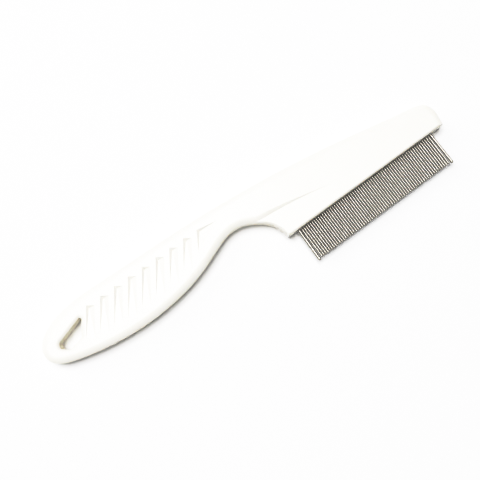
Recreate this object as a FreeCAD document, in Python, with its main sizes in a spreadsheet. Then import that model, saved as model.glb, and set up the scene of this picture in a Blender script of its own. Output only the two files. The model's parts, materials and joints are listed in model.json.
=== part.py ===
import FreeCAD, Part
import math
import os

os.makedirs("parts", exist_ok=True)
doc = FreeCAD.newDocument("flea_comb")
Vec = FreeCAD.Vector

# ---------------------------------------------------------------------------------------------
# Driving dimensions in mm and degrees. Sketches are drawn in the comb's own plan coordinates:
# x runs along the pin row from the first comb pin towards the tip, y from the pin edge towards
# the spine, and height is measured from the middle of the thickness. place_x and place_y move
# the whole comb so that the middle of its bounding box stands over the origin.
# ---------------------------------------------------------------------------------------------
DIMENSIONS = {
    "grip_thickness": 8.5,
    "head_thickness": 6.9,
    "crown_radius": 3.3,
    "crown_steepness": 52.0,
    "crease_radius": 4.2,
    "slope_start": -16.0,
    "slope_end": 28.0,
    "crease_rise": 0.03,
    "pin_edge_radius": 1.5,
    "hole_edge_radius": 1.9,
    "pocket_depth": 0.8,
    "pocket_floor": 0.15,
    "pocket_lift": 0.1,
    "slot_count": 8,
    "slot_pitch": 6.48,
    "slot_width": 3.4,
    "slot_lean": 56.0,
    "slot_wall_run": 1.1,
    "slot_end_run": 1.1,
    "slot_foot_margin": 6.0,
    "pin_count": 64,
    "pin_pitch": 1.0,
    "pin_diameter": 0.8,
    "pin_reach": 14.1,
    "pin_grip": 9.0,
    "guard_diameter": 1.2,
    "guard_reach": 14.6,
    "guard_grip": 9.5,
    "guard_gap": 1.2,
    "guard_splay": 1.0,
    "bore_run_out": 2.0,
    "place_x": 19.32,
    "place_y": -7.26,
}

sheet = doc.addObject("Spreadsheet::Sheet", "Dims")
for row, (alias, value) in enumerate(DIMENSIONS.items(), start=1):
    sheet.set(f"A{row}", alias)
    sheet.set(f"B{row}", str(value))
    sheet.setAlias(f"B{row}", alias)
doc.recompute()


NEAR = 0.01
SMALL_VOLUME = 0.001


def dim(alias):
    return float(sheet.get(alias))


def bind(obj, prop, expression):
    """Ties one property of an object to the sheet."""
    obj.setExpression(prop, expression)


def place(obj):
    """Moves an object from plan coordinates to the row frame."""
    bind(obj, ".Placement.Base.x", "Dims.place_x")
    bind(obj, ".Placement.Base.y", "Dims.place_y")
    bind(obj, ".Placement.Base.z", "Dims.grip_thickness / 2")


def new_body(label):
    body = doc.addObject("PartDesign::Body", label)
    body.Label = label
    return body


def new_sketch(body, name, role, shapes):
    """A sketch on one of the body's origin planes, holding the given curves."""
    sketch = body.newObject("Sketcher::SketchObject", name)
    plane = next(f for f in body.Origin.OriginFeatures if f.Role == role)
    sketch.AttachmentSupport = [(plane, "")]
    sketch.MapMode = "FlatFace"
    sketch.addGeometry(shapes, False)
    return sketch


def spline(points):
    """A smooth curve through points."""
    curve = Part.BSplineCurve()
    curve.interpolate([Vec(x, y, 0) for x, y in points])
    return curve


def moved_outwards(points, distance):
    """The points of a spline, each moved along its normal, to the left of the way it runs."""
    curve = spline(points)
    moved = []
    for x, y in points:
        along = curve.tangent(curve.parameter(Vec(x, y, 0)))[0]
        moved.append((x - along.y * distance, y + along.x * distance))
    return moved


def line(start, end):
    return Part.LineSegment(Vec(*start, 0), Vec(*end, 0))


def chain(corners):
    """Straight lines from corner to corner."""
    return [line(a, b) for a, b in zip(corners, corners[1:])]


def corner_of(corners, i):
    """A corner of a polygon: its point, the ways to both neighbours and half the angle between."""
    ring = [Vec(x, y, 0) for x, y, _ in corners]
    before = (ring[i - 1] - ring[i]).normalize()
    after = (ring[(i + 1) % len(ring)] - ring[i]).normalize()
    return ring[i], before, after, before.getAngle(after) / 2


def rounded_polygon(corners):
    """Lines and tangent arcs around (x, y, radius) corners."""
    joints = []
    for i, (_, _, radius) in enumerate(corners):
        point, before, after, half = corner_of(corners, i)
        reach = radius / math.tan(half)
        middle = point + (before + after).normalize() * (radius / math.sin(half) - radius)
        joints.append((point + before * reach, middle, point + after * reach))
    shapes = []
    for i, (start, middle, end) in enumerate(joints):
        shapes.append(Part.Arc(start, middle, end))
        shapes.append(Part.LineSegment(end, joints[(i + 1) % len(joints)][0]))
    return shapes


def shrunk(corners, distance):
    """A rounded polygon with every side moved inwards."""
    moved = []
    for i, (_, _, radius) in enumerate(corners):
        point, before, after, half = corner_of(corners, i)
        point += (before + after).normalize() * (distance / math.sin(half))
        moved.append((point.x, point.y, radius - distance))
    return moved


# ---------------------------------------------------------------------------------------------
# Handle: one moulding. Its outline is one smooth curve from the heel of the head, back along
# the finger side, round the butt and forward along the spine to the tip, closed by the straight
# pin edge. Both faces are crowned along the curve and stay flat along the pin edge.
# ---------------------------------------------------------------------------------------------
PIN_EDGE_START = (-6.1, 0.0)
PIN_EDGE_END = (70.1, 0.0)
OUTLINE = [
    PIN_EDGE_START,
    (-6.75, 3.85),
    (-8.8, 7.95),
    (-12.4, 11.1),
    (-16.7, 13.6),
    (-21.7, 14.8),
    (-27.8, 13.9),
    (-36.5, 10.6),
    (-46.5, 7.5),
    (-57.2, 5.7),
    (-68.3, 5.05),
    (-79.8, 5.65),
    (-91.5, 7.5),
    (-101.0, 10.0),
    (-106.3, 12.3),
    (-109.1, 15.7),
    (-109.1, 19.8),
    (-106.4, 23.7),
    (-101.0, 26.7),
    (-93.5, 28.6),
    (-83.0, 29.1),
    (-66.0, 28.5),
    (-48.0, 27.9),
    (-30.0, 26.9),
    (-12.0, 25.3),
    (6.0, 23.2),
    (24.6, 20.3),
    (43.0, 16.8),
    (60.0, 13.4),
    (66.5, 11.9),
    (69.7, 9.8),
    (70.8, 6.6),
    (70.6, 3.3),
    PIN_EDGE_END,
]


SLOPE_CLEARANCE = 10.0


def slope_cutter(side):
    """Side view of what is cut from one face: the face falls to the head in two tangent arcs."""
    top = dim("grip_thickness") / 2
    low = dim("head_thickness") / 2
    drop = top - low
    start, end = dim("slope_start"), dim("slope_end")
    span = end - start
    radius = (span * span + drop * drop) / (4 * drop)
    half_sweep = math.asin(span / 2 / radius) / 2
    run = radius * math.sin(half_sweep)
    fall = radius * (1 - math.cos(half_sweep))
    far = PIN_EDGE_END[0] + SLOPE_CLEARANCE
    above = top + SLOPE_CLEARANCE
    points = [
        (start, top),
        (start + run, top - fall),
        (start + span / 2, top - drop / 2),
        (end - run, low + fall),
        (end, low),
        (far, low),
        (far, above),
        (start, above),
    ]
    a, b, c, d, e, f, g, last = [Vec(x, side * z, 0) for x, z in points]
    return [
        Part.Arc(a, b, c),
        Part.Arc(c, d, e),
        Part.LineSegment(e, f),
        Part.LineSegment(f, g),
        Part.LineSegment(g, last),
        Part.LineSegment(last, a),
    ]


def volume_of(body):
    doc.recompute()
    return body.Shape.Volume


def steep_part(radius):
    """How wide the part of a rounding is that lies beyond its steepest wanted slope."""
    return dim(radius) * (1 - math.sin(math.radians(dim("crown_steepness"))))


def outline_pad(body):
    """The blank, larger all round than the outline by what the crown's steepest part takes."""
    blank = moved_outwards(OUTLINE, steep_part("crown_radius"))
    sketch = new_sketch(
        body,
        body.Label + "_blank",
        "XY_Plane",
        [spline(blank), line(blank[-1], blank[0])],
    )
    pad = body.newObject("PartDesign::Pad", body.Label + "_pad")
    pad.Profile = sketch
    pad.Midplane = True
    bind(pad, "Length", "Dims.grip_thickness")


def cut_through(body, name, sketch):
    """A pocket right through the body both ways, which has to change it."""
    before = volume_of(body)
    pocket = body.newObject("PartDesign::Pocket", name)
    pocket.Profile = sketch
    pocket.Type = "ThroughAll"
    pocket.Midplane = True
    if abs(volume_of(body) - before) < SMALL_VOLUME:
        raise RuntimeError(name + " changed nothing")


handle_body = new_body("handle_body")
outline_pad(handle_body)
for name, side in (("front_slope", 1), ("back_slope", -1)):
    profile = new_sketch(handle_body, name, "XZ_Plane", slope_cutter(side))
    cut_through(handle_body, name + "_cut", profile)


def round_edges(body, name, wanted, radius):
    """Rounds the edges that the test picks."""
    doc.recompute()
    base = body.Tip
    names = [f"Edge{i}" for i, edge in enumerate(base.Shape.Edges, start=1) if wanted(edge)]
    fillet = body.newObject("PartDesign::Fillet", name)
    fillet.Base = (base, names)
    bind(fillet, "Radius", radius)
    body.Tip = fillet
    doc.recompute()


def is_outer_rim(edge):
    """An edge of the spline outline on the front or back, not one that crosses a face."""
    box = edge.BoundBox
    off_middle = box.ZMin > 0 or box.ZMax < 0
    return off_middle and isinstance(edge.Curve, Part.BSplineCurve)


round_edges(handle_body, "crown_rounding", is_outer_rim, "Dims.crown_radius")

# The sides are upright, so the crown ends at them in a clear edge.
AROUND = [(-130.0, -20.0), (90.0, -20.0), (90.0, 50.0), (-130.0, 50.0), (-130.0, -20.0)]
trim = new_sketch(
    handle_body,
    "handle_outline",
    "XY_Plane",
    [spline(OUTLINE), line(PIN_EDGE_END, PIN_EDGE_START)] + chain(AROUND),
)
cut_through(handle_body, "side_trim", trim)


EDGE_RISE = 0.12
EDGE_SWEEP = math.radians(76.7)
EDGE_CLEARANCE = 3.0


def pin_edge_cutter(side):
    """End view of what is cut off along the pin edge, an arc that crosses the face at a slant."""
    face = dim("head_thickness") / 2
    radius = dim("pin_edge_radius")
    centre_z = face - radius + EDGE_RISE

    def on_arc(turn):
        return (radius * (1 - math.cos(turn)), centre_z + radius * math.sin(turn))

    end = on_arc(EDGE_SWEEP)
    outside, above = -EDGE_CLEARANCE, face + EDGE_CLEARANCE
    points = [on_arc(0), on_arc(EDGE_SWEEP / 2), end, (end[0], above), (outside, above)]
    points.append((outside, centre_z))
    a, b, c, d, e, f = [Vec(y, side * z, 0) for y, z in points]
    return [
        Part.Arc(a, b, c),
        Part.LineSegment(c, d),
        Part.LineSegment(d, e),
        Part.LineSegment(e, f),
        Part.LineSegment(f, a),
    ]


for name, side in (("front_pin_edge", 1), ("back_pin_edge", -1)):
    profile = new_sketch(handle_body, name, "YZ_Plane", pin_edge_cutter(side))
    cut_through(handle_body, name + "_cut", profile)

# The hanging hole is a short slot with rounded corners. Its longer end stands along the ribs.
# A smaller pilot hole is rounded first, so that the full hole leaves a clear edge in the rim.
HANGING_HOLE = [
    (-88.9, 22.75, 0.7),
    (-102.1, 18.8, 1.5),
    (-103.0, 16.7, 1.3),
    (-99.9, 14.3, 1.4),
    (-93.8, 15.6, 1.5),
]


def is_hole_rim(edge):
    """An edge on the front or back that lies within the hanging hole's own bounds."""
    box = edge.BoundBox
    face = dim("grip_thickness") / 2
    on_face = abs(abs(box.ZMin) - face) < NEAR and box.ZLength < NEAR
    columns, rows, _ = zip(*HANGING_HOLE)
    across = min(columns) < box.XMin and box.XMax < max(columns)
    return on_face and across and min(rows) < box.YMin and box.YMax < max(rows)


def cut_hole(name, corners):
    sketch = new_sketch(handle_body, name, "XY_Plane", rounded_polygon(corners))
    cut_through(handle_body, name + "_cut", sketch)


cut_hole("pilot_hole", shrunk(HANGING_HOLE, steep_part("hole_edge_radius")))
round_edges(handle_body, "hole_rounding", is_hole_rim, "Dims.hole_edge_radius")
cut_hole("hanging_hole", HANGING_HOLE)

# The neck's rounded finger side runs on over the head as a crease that fades out. What stands
# beside it, above the flat of the head, is taken off: a block less the neck's own rounded form.
CREASE = [
    (-22.0, 14.2),
    (-17.2, 11.8),
    (-13.3, 10.3),
    (-9.6, 9.8),
    (-5.0, 9.35),
    (0.0, 8.7),
    (5.0, 7.95),
    (10.0, 7.1),
    (15.0, 6.1),
    (20.0, 5.0),
    (25.0, 3.7),
]
CREASE_END = (30.0, 2.2)
BEYOND_CREASE = [(40.0, 2.2), (40.0, 30.0), (-22.0, 30.0)]
BLOCK = [(-17.5, -4.0), (30.0, -4.0), (30.0, 12.0), (-17.5, 17.0)]


neck_form = new_body("neck_form")
edge_of_neck = CREASE + [CREASE_END]
neck_sketch = new_sketch(
    neck_form,
    "neck_form_outline",
    "XY_Plane",
    [spline(edge_of_neck)] + chain([CREASE_END] + BEYOND_CREASE + [CREASE[0]]),
)
neck_pad = neck_form.newObject("PartDesign::Pad", "neck_form_pad")
neck_pad.Profile = neck_sketch
neck_pad.Midplane = True
bind(neck_pad, "Length", "Dims.grip_thickness")


def is_crease_rim(edge):
    """The spline edges of the neck's form, on its front and back."""
    return edge.BoundBox.ZLength < NEAR and isinstance(edge.Curve, Part.BSplineCurve)


round_edges(neck_form, "neck_form_rounding", is_crease_rim, "Dims.crease_radius")

shoulders = []
for name, side in (("front_shoulder", 1), ("back_shoulder", -1)):
    body = new_body(name)
    sketch = new_sketch(body, name + "_outline", "XY_Plane", chain(BLOCK + [BLOCK[0]]))
    bind(
        sketch,
        ".AttachmentOffset.Base.z",
        f"{side} * (Dims.head_thickness / 2 + Dims.crease_rise)",
    )
    pad = body.newObject("PartDesign::Pad", name + "_pad")
    pad.Profile = sketch
    pad.Reversed = side < 0
    bind(pad, "Length", "Dims.grip_thickness - Dims.head_thickness")
    shoulders.append(body)


def boolean(kind, name, base, tool):
    """A Part boolean between two objects."""
    obj = doc.addObject("Part::" + kind, name)
    obj.Base = base
    obj.Tool = tool
    doc.recompute()
    return obj


shaped = handle_body
for body in shoulders:
    cutter = boolean("Cut", body.Name + "_cutter", body, neck_form)
    shaped = boolean("Cut", "handle_less_" + body.Name, shaped, cutter)


# ---------------------------------------------------------------------------------------------
# Grip pockets: a row of leaning slots whose feet follow the finger side, then one triangular
# pocket where the neck begins. Each is deepest near its top left corner, and its floor rises to
# nothing at the far side and at the foot. The back carries the same as the front.
# ---------------------------------------------------------------------------------------------
FIRST_SLOT = (-85.4, 24.6)
SLOT_TOP_FALL = 0.12
SLOT_SHIFT = 7.5
FINGER_SIDE_LOW = (-68.0, 4.75)
FINGER_SIDE_CURVE = 0.0056


def finger_line(x):
    """Where a slot's foot ends: a parabola that follows the finger side at a set margin."""
    away = x - FINGER_SIDE_LOW[0]
    return FINGER_SIDE_LOW[1] + dim("slot_foot_margin") + FINGER_SIDE_CURVE * away * away


def slot(index):
    """Cutter for one slot: a block that narrows with depth to a point near its top left corner."""
    lean = math.radians(dim("slot_lean"))
    up = Vec(math.cos(lean), math.sin(lean), 0)
    right = Vec(math.sin(lean), -math.cos(lean), 0)
    top_left = Vec(*FIRST_SLOT, 0) + Vec(dim("slot_pitch"), -SLOT_TOP_FALL, 0) * index
    length = (top_left.y - finger_line(top_left.x - SLOT_SHIFT)) / up.y
    foot_left = top_left - up * length

    cutter = doc.addObject("Part::Wedge", f"slot_{index + 1}")
    left, right_end = "Dims.slot_wall_run", "(Dims.slot_wall_run + Dims.pocket_floor)"
    foot = f"({length} - Dims.slot_end_run - Dims.pocket_floor)"
    spread = "Dims.pocket_lift / Dims.pocket_depth"
    bind(cutter, "Ymin", "-Dims.pocket_lift")
    bind(cutter, "Ymax", "Dims.pocket_depth")
    bind(cutter, "Xmin", f"-{left} * {spread}")
    bind(cutter, "X2min", left)
    bind(cutter, "X2max", right_end)
    bind(cutter, "Xmax", f"Dims.slot_width + (Dims.slot_width - {right_end}) * {spread}")
    bind(cutter, "Zmin", f"-{foot} * {spread}")
    bind(cutter, "Z2min", foot)
    bind(cutter, "Z2max", f"{length} - Dims.slot_end_run")
    bind(cutter, "Zmax", f"{length} + Dims.slot_end_run * {spread}")
    turn = FreeCAD.Rotation(right, Vec(0, 0, -1), up, "XYZ")
    cutter.Placement = FreeCAD.Placement(foot_left, turn)
    bind(cutter, ".Placement.Base.z", "Dims.grip_thickness / 2")
    return cutter


NECK_POCKET = [(-33.9, 23.3), (-38.6, 15.3), (-25.4, 21.6)]
NECK_POCKET_LOW = (-33.35, 22.05)


def neck_pocket():
    """Cutter for the triangular pocket: a pyramid on its point, lowest near the first corner."""
    face = dim("grip_thickness") / 2
    low = Vec(*NECK_POCKET_LOW, face - dim("pocket_depth"))
    growth = 1 + dim("pocket_lift") / dim("pocket_depth")
    rim = [low + (Vec(x, y, face) - low) * growth for x, y in NECK_POCKET]
    sides = [(rim[0], rim[1], rim[2])]
    sides += [(rim[i - 1], rim[i], low) for i in range(3)]
    faces = [Part.Face(Part.makePolygon([*side, side[0]])) for side in sides]
    cutter = doc.addObject("Part::Feature", "neck_pocket")
    cutter.Shape = Part.Solid(Part.Shell(faces))
    return cutter


front_pockets = doc.addObject("Part::Compound", "front_pockets")
front_pockets.Links = [slot(index) for index in range(int(dim("slot_count")))] + [neck_pocket()]
back_pockets = doc.addObject("Part::Mirroring", "back_pockets")
back_pockets.Source = front_pockets
back_pockets.Normal = (0, 0, 1)
doc.recompute()
for cutter in (front_pockets, back_pockets):
    shaped = boolean("Cut", "handle_less_" + cutter.Name, shaped, cutter)


# ---------------------------------------------------------------------------------------------
# Pins: drawn as half a pin in plan and turned about its own axis. Each stands in a blind bore
# of its own diameter. The comb pins are equal and equally spaced, and a thicker guard pin that
# leans very slightly outwards stands at each end of the row.
# ---------------------------------------------------------------------------------------------
def pin_profile(name, diameter, reach, grip):
    """Half a pin on the axis x = 0, from its flat inner end to its domed tip."""
    sketch = doc.addObject("Sketcher::SketchObject", name)
    radius, tip, top = dim(diameter) / 2, -dim(reach), dim(grip)
    shoulder = tip + radius
    bend = radius * math.sqrt(0.5)
    shapes = [
        line((0, tip), (0, top)),
        line((0, top), (radius, top)),
        line((radius, top), (radius, shoulder)),
        Part.Arc(Vec(radius, shoulder, 0), Vec(bend, shoulder - bend, 0), Vec(0, tip, 0)),
    ]
    sketch.addGeometry(shapes, False)
    return sketch


def pin(name, profile, x, lean=0.0):
    """One pin whose axis crosses the pin edge at x."""
    turned = doc.addObject("Part::Revolution", name)
    turned.Source = profile
    turned.Axis = (0, 1, 0)
    turned.Base = (0, 0, 0)
    turned.Angle = 360
    turned.Solid = True
    bind(turned, ".Placement.Base.x", x)
    turned.Placement.Rotation = FreeCAD.Rotation(Vec(0, 0, 1), lean)
    return turned


def bore(name, diameter, grip, x, lean=0.0):
    """The blind bore of a pin, drilled in from clear of the pin edge."""
    drill = doc.addObject("Part::Cylinder", name)
    bind(drill, "Radius", diameter + " / 2")
    bind(drill, "Height", grip + " + Dims.bore_run_out")
    lying = FreeCAD.Rotation(Vec(1, 0, 0), -90)
    drill.Placement.Rotation = FreeCAD.Rotation(Vec(0, 0, 1), lean).multiply(lying)
    bind(drill, ".Placement.Base.x", f"{x} + Dims.bore_run_out * sin({lean} deg)")
    bind(drill, ".Placement.Base.y", f"-Dims.bore_run_out * cos({lean} deg)")
    return drill


pin_count = int(dim("pin_count"))
comb_profile = pin_profile("comb_pin_profile", "pin_diameter", "pin_reach", "pin_grip")
guard_profile = pin_profile("guard_pin_profile", "guard_diameter", "guard_reach", "guard_grip")

comb_pins = []
bores = []
for index in range(pin_count):
    x = f"{index} * Dims.pin_pitch"
    comb_pins.append(pin(f"comb_pin_{index + 1:02d}", comb_profile, x))
    bores.append(bore(f"bore_{index + 1:02d}", "Dims.pin_diameter", "Dims.pin_grip", x))

lean = dim("guard_splay")
GUARDS = {
    "guard_pin_neck": ("-Dims.guard_gap", -lean),
    "guard_pin_tip": (f"{pin_count - 1} * Dims.pin_pitch + Dims.guard_gap", lean),
}
guard_pins = {}
for name, (x, turn) in GUARDS.items():
    guard_pins[name] = [pin(name + "_turned", guard_profile, x, turn)]
    bores.append(bore(name + "_bore", "Dims.guard_diameter", "Dims.guard_grip", x, turn))

all_bores = doc.addObject("Part::Compound", "all_bores")
all_bores.Links = bores
doc.recompute()

handle = boolean("Cut", "handle", shaped, all_bores)
place(handle)

pin_groups = {
    f"comb_pin_pair_{number + 1:02d}": comb_pins[2 * number : 2 * number + 2]
    for number in range(pin_count // 2)
}
sub_parts = [handle]
for name, pins in (pin_groups | guard_pins).items():
    group = doc.addObject("Part::Compound", name)
    group.Label = name
    group.Links = pins
    place(group)
    sub_parts.append(group)
doc.recompute()

# ---------------------------------------------------------------------------------------------
# Checks, then one file per sub-part.
# ---------------------------------------------------------------------------------------------
failed = [o.Name for o in doc.Objects if "Invalid" in o.State or "Error" in o.State]
if failed:
    raise RuntimeError("failed objects: " + ", ".join(failed))
whole = FreeCAD.BoundBox()
for part in sub_parts:
    if part.Shape.isNull() or not part.Shape.isValid():
        raise RuntimeError(part.Label + " has no valid shape")
    whole.add(part.Shape.BoundBox)
    print(part.Label, len(part.Shape.Solids), round(part.Shape.Volume, 3))
    part.Shape.exportStep(f"parts/{part.Label}.step")
print("overall", whole)
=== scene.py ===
import json
import math

import bpy
from mathutils import Matrix, Vector


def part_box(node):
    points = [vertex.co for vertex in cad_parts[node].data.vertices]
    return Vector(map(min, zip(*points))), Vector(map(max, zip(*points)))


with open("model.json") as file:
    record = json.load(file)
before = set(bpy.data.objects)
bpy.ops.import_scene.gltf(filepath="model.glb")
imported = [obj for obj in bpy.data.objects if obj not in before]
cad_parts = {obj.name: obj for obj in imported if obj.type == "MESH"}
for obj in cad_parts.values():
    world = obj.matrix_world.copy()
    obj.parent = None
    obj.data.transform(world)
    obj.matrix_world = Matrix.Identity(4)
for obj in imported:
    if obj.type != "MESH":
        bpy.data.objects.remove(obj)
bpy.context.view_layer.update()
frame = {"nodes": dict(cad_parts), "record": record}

MM = 0.001


# --- material helpers ------------------------------------------------------------------------
# Where the Mix node keeps its sockets when it mixes colours.
MIX_SHARE = 0
MIX_FIRST = 6
MIX_SECOND = 7
MIX_COLOR = 2


def new_material(name, base_color, roughness):
    """A Principled material with its plain colour and roughness set on the shader."""
    material = bpy.data.materials.new(name)
    material.use_nodes = True
    tree = material.node_tree
    shader = tree.nodes["Principled BSDF"]
    shader.inputs["Base Color"].default_value = (*base_color, 1)
    shader.inputs["Roughness"].default_value = roughness
    return material, tree, shader


def add_node(tree, kind, **inputs):
    """A node with the given inputs, where an underscore in a name stands for a space."""
    node = tree.nodes.new(kind)
    for name, value in inputs.items():
        node.inputs[name.replace("_", " ")].default_value = value
    return node


def place_on_object(tree):
    """The place of each point in the object's own metres."""
    return tree.nodes.new("ShaderNodeTexCoord").outputs["Object"]


def noise(tree, scale, detail, density=(1, 1, 1)):
    """Noise over the object. A density below 1 draws it out along that axis."""
    mapping = add_node(tree, "ShaderNodeMapping", Scale=density)
    pattern = add_node(tree, "ShaderNodeTexNoise", Scale=scale, Detail=detail)
    tree.links.new(place_on_object(tree), mapping.inputs["Vector"])
    tree.links.new(mapping.outputs["Vector"], pattern.inputs["Vector"])
    return pattern.outputs["Fac"]


def vary_roughness(tree, shader, source, low, high):
    """Runs the roughness from low to high as the source runs from 0 to 1."""
    node = add_node(tree, "ShaderNodeMapRange", To_Min=low, To_Max=high)
    tree.links.new(source, node.inputs["Value"])
    tree.links.new(node.outputs["Result"], shader.inputs["Roughness"])


def bump(tree, shader, source, height):
    """Fine relief, as high in metres as given where the source is 1."""
    node = add_node(tree, "ShaderNodeBump", Distance=height, Strength=1.0)
    tree.links.new(source, node.inputs["Height"])
    tree.links.new(node.outputs["Normal"], shader.inputs["Normal"])


def color_mix(tree, blend_type):
    mix = tree.nodes.new("ShaderNodeMix")
    mix.data_type = "RGBA"
    mix.blend_type = blend_type
    return mix


def tint(tree, shader, source, dark, light):
    """Runs the colour from dark to light as the source runs from 0 to 1."""
    mix = color_mix(tree, "MIX")
    mix.inputs[MIX_FIRST].default_value = (*dark, 1)
    mix.inputs[MIX_SECOND].default_value = (*light, 1)
    tree.links.new(source, mix.inputs[MIX_SHARE])
    tree.links.new(mix.outputs[MIX_COLOR], shader.inputs["Base Color"])


def mix_shaders(tree, share, first, second):
    """A mix that runs from the first shader to the second as the share runs from 0 to 1."""
    mix = tree.nodes.new("ShaderNodeMixShader")
    tree.links.new(share, mix.inputs[0])
    tree.links.new(first.outputs[0], mix.inputs[1])
    tree.links.new(second.outputs[0], mix.inputs[2])
    return mix


# --- handle: slightly warm white ABS, faintly cloudy, with the fine texture of a moulding tool ---
ABS_COLOR = (0.9, 0.875, 0.8)
ABS_DARK = (0.888, 0.862, 0.784)
ABS_LIGHT = (0.912, 0.888, 0.816)
ABS_ROUGHNESS = 0.34
ABS_SMOOTHEST = 0.3
ABS_ROUGHEST = 0.4
CLOUD_SCALE = 120.0
CLOUD_DETAIL = 3.0
GRAIN_SCALE = 2500.0
GRAIN_DETAIL = 2.0
GRAIN_HEIGHT = 0.006 * MM
ABS_TRANSLUCENCY = 0.15
ABS_SCATTER = (1.0, 0.85, 0.65)
ABS_SCATTER_DEPTH = 2 * MM


def white_abs():
    material, tree, shader = new_material("white_abs", ABS_COLOR, ABS_ROUGHNESS)
    tint(tree, shader, noise(tree, CLOUD_SCALE, CLOUD_DETAIL), ABS_DARK, ABS_LIGHT)
    grain = noise(tree, GRAIN_SCALE, GRAIN_DETAIL)
    bump(tree, shader, grain, GRAIN_HEIGHT)
    vary_roughness(tree, shader, grain, ABS_SMOOTHEST, ABS_ROUGHEST)
    shader.inputs["Subsurface Weight"].default_value = ABS_TRANSLUCENCY
    shader.inputs["Subsurface Radius"].default_value = ABS_SCATTER
    shader.inputs["Subsurface Scale"].default_value = ABS_SCATTER_DEPTH
    return material


# --- pins: drawn stainless wire, with faint lengthwise marks in colour, gloss and relief --------
STEEL_COLOR = (0.42, 0.4, 0.365)
STEEL_DARK = (0.395, 0.378, 0.343)
STEEL_LIGHT = (0.445, 0.428, 0.393)
STEEL_ROUGHNESS = 0.4
STEEL_SMOOTHEST = 0.36
STEEL_ROUGHEST = 0.44
DRAWN_SCALE = 2600.0
DRAWN_DETAIL = 2.0
DRAWN_DENSITY = (1, 0.03, 1)
DRAWN_HEIGHT = 0.0005 * MM

# Brightness of the wire at shares of the way from the head to the tips: painted shade, darkest at
# the head, where the head shades the roots.
ROOT_SHADE_LEVELS = [(0.0, 0.72), (0.1, 0.85), (0.25, 0.93), (0.85, 0.96), (1.0, 1.0)]


def paint_root_shade(tree, shader, root, tip):
    """Paints shade on the wire, darker towards the head where the head shades the roots, between
    two places along the object's y axis.
    """
    axes = tree.nodes.new("ShaderNodeSeparateXYZ")
    tree.links.new(place_on_object(tree), axes.inputs["Vector"])
    share = add_node(tree, "ShaderNodeMapRange", From_Min=root, From_Max=tip)
    tree.links.new(axes.outputs["Y"], share.inputs["Value"])
    ramp = tree.nodes.new("ShaderNodeValToRGB")
    stops = ramp.color_ramp.elements
    for place, _ in ROOT_SHADE_LEVELS[1:-1]:
        stops.new(place)
    for stop, (_, level) in zip(stops, ROOT_SHADE_LEVELS):
        stop.color = (level, level, level, 1)
    tree.links.new(share.outputs["Result"], ramp.inputs["Fac"])
    shaded = color_mix(tree, "MULTIPLY")
    shaded.inputs[MIX_SHARE].default_value = 1.0
    color = shader.inputs["Base Color"]
    tree.links.new(color.links[0].from_socket, shaded.inputs[MIX_FIRST])
    tree.links.new(ramp.outputs["Color"], shaded.inputs[MIX_SECOND])
    tree.links.new(shaded.outputs[MIX_COLOR], color)


def steel_wire():
    material, tree, shader = new_material("stainless_pin", STEEL_COLOR, STEEL_ROUGHNESS)
    shader.inputs["Metallic"].default_value = 1.0
    drawn = noise(tree, DRAWN_SCALE, DRAWN_DETAIL, DRAWN_DENSITY)
    tint(tree, shader, drawn, STEEL_DARK, STEEL_LIGHT)
    head_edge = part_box("handle")[0].y
    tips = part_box("comb_pin_pair_01")[0].y
    # Painted shade: the wire gets darker towards the head, standing in for the head's shadow on the
    # roots.
    paint_root_shade(tree, shader, head_edge, tips)
    vary_roughness(tree, shader, drawn, STEEL_SMOOTHEST, STEEL_ROUGHEST)
    bump(tree, shader, drawn, DRAWN_HEIGHT)
    return material


def assign_materials():
    """Gives every piece the material of its slot in the record."""
    materials = {"white_abs": white_abs(), "stainless_pin": steel_wire()}
    for entry in frame["record"]["subparts"]:
        piece = frame["nodes"][entry["node"]]
        piece.data.materials.clear()
        piece.data.materials.append(materials[entry["material_slot"]])


# --- floor: a wide white sheet that turns into the backdrop far from the comb, with no horizon ---
BACKDROP = 0.98
FLOOR_SIZE = 6.0
FLOOR_GAP = 0.05 * MM
FADE_START = 0.14
FADE_END = 0.5
SHEET_COLOR = (0.97, 0.97, 0.97)
SHEET_DARK = (0.965, 0.965, 0.965)
SHEET_LIGHT = (0.975, 0.975, 0.975)
SHEET_ROUGHNESS = 0.6
FIBRE_SCALE = 40.0
FIBRE_DETAIL = 3.0
WHITE = (1, 1, 1, 1)


def pale_floor():
    bpy.ops.mesh.primitive_plane_add(size=FLOOR_SIZE, location=(0, 0, -FLOOR_GAP))
    floor = bpy.context.object
    floor.name = "floor"
    material, tree, shader = new_material("white_sheet", SHEET_COLOR, SHEET_ROUGHNESS)
    tint(tree, shader, noise(tree, FIBRE_SCALE, FIBRE_DETAIL), SHEET_DARK, SHEET_LIGHT)
    away = tree.nodes.new("ShaderNodeVectorMath")
    away.operation = "LENGTH"
    tree.links.new(place_on_object(tree), away.inputs["Vector"])
    share = add_node(tree, "ShaderNodeMapRange", From_Min=FADE_START, From_Max=FADE_END)
    share.interpolation_type = "SMOOTHSTEP"
    tree.links.new(away.outputs["Value"], share.inputs["Value"])
    glow = add_node(tree, "ShaderNodeEmission", Color=WHITE, Strength=BACKDROP)
    mix = mix_shaders(tree, share.outputs["Result"], shader, glow)
    tree.links.new(mix.outputs["Shader"], tree.nodes["Material Output"].inputs["Surface"])
    floor.data.materials.append(material)


# --- light -----------------------------------------------------------------------------------
SKY_LEVEL = 0.13
SKY_MIRRORED = 0.25
AIM = Vector((-2.945, 3.184, 4.25)) * MM


def area_light(name, turn, elevation, distance, size, power):
    """A square light that shines at the aim, with its turn about z and elevation in degrees."""
    data = bpy.data.lights.new(name, "AREA")
    data.size = size
    data.energy = power
    light = bpy.data.objects.new(name, data)
    turn = math.radians(turn)
    elevation = math.radians(elevation)
    level = math.cos(elevation)
    away = Vector((level * math.cos(turn), level * math.sin(turn), math.sin(elevation)))
    light.location = AIM + away * distance
    light.rotation_euler = away.to_track_quat("Z", "Y").to_euler()
    bpy.context.scene.collection.objects.link(light)


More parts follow.
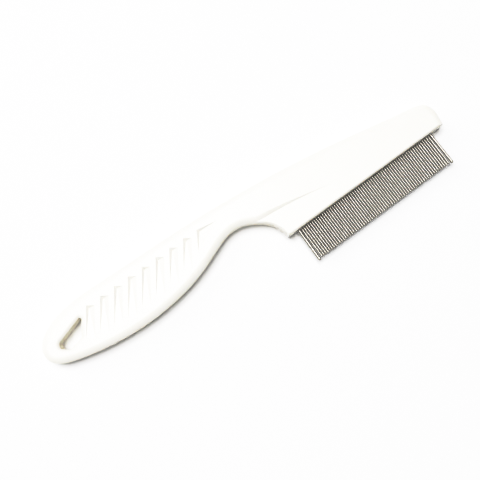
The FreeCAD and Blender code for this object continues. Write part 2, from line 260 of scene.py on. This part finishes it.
def sky():
    """Even light from all round, and a bright backdrop that polished surfaces mirror in part."""
    world = bpy.data.worlds.new("studio")
    world.use_nodes = True
    tree = world.node_tree
    light = tree.nodes["Background"]
    light.inputs["Color"].default_value = WHITE
    light.inputs["Strength"].default_value = SKY_LEVEL
    wall = add_node(tree, "ShaderNodeBackground", Color=WHITE, Strength=BACKDROP)
    path = tree.nodes.new("ShaderNodeLightPath")
    share = tree.nodes.new("ShaderNodeMath")
    share.operation = "MULTIPLY_ADD"
    share.inputs[1].default_value = SKY_MIRRORED
    tree.links.new(path.outputs["Is Glossy Ray"], share.inputs[0])
    tree.links.new(path.outputs["Is Camera Ray"], share.inputs[2])
    mix = mix_shaders(tree, share.outputs["Value"], light, wall)
    tree.links.new(mix.outputs["Shader"], tree.nodes["World Output"].inputs["Surface"])
    bpy.context.scene.world = world


# --- camera: nearly straight down on the comb, turned so that the handle points down and left ---
CAMERA_DISTANCE = 315.03 * MM
CAMERA_TURN = math.radians(36.178)
CAMERA_TILT = math.radians(-6.776)
LENS = 60.0
SENSOR_WIDTH = 36.0
NEAREST_SEEN = 10 * MM


def camera():
    data = bpy.data.cameras.new("camera")
    data.lens = LENS
    data.sensor_width = SENSOR_WIDTH
    data.clip_start = NEAREST_SEEN
    view = bpy.data.objects.new("camera", data)
    to_camera = Matrix.Rotation(CAMERA_TILT, 3, "X") @ Matrix.Rotation(CAMERA_TURN, 3, "Z")
    facing = to_camera.transposed()
    backwards = facing @ Vector((0, 0, 1))
    place = Matrix.Translation(AIM + backwards * CAMERA_DISTANCE)
    view.matrix_world = place @ facing.to_4x4()
    bpy.context.scene.collection.objects.link(view)
    bpy.context.scene.camera = view


# --- tone curve: deep shadows stay dark, light shades open up and whites ease in ----------------
TONES = [(0.2, 0.16), (0.3, 0.32), (0.4, 0.58), (0.5, 0.79), (0.6, 0.88), (0.7, 0.94), (0.8, 0.975)]
WHITE_FROM = 0.98
ALL_CHANNELS = 3


def tone_curve():
    settings = bpy.context.scene.view_settings
    settings.view_transform = "Standard"
    settings.use_curve_mapping = True
    mapping = settings.curve_mapping
    curve = mapping.curves[ALL_CHANNELS]
    for light, shown in TONES:
        curve.points.new(light, shown)
    curve.points[-1].location = (WHITE_FROM, 1.0)
    mapping.update()


assign_materials()
pale_floor()
area_light("key", turn=99.0, elevation=77.0, distance=2.4, size=1.2, power=42.0)
area_light("fill", turn=115.0, elevation=35.0, distance=2.4, size=1.2, power=10.0)
sky()
camera()
tone_curve()
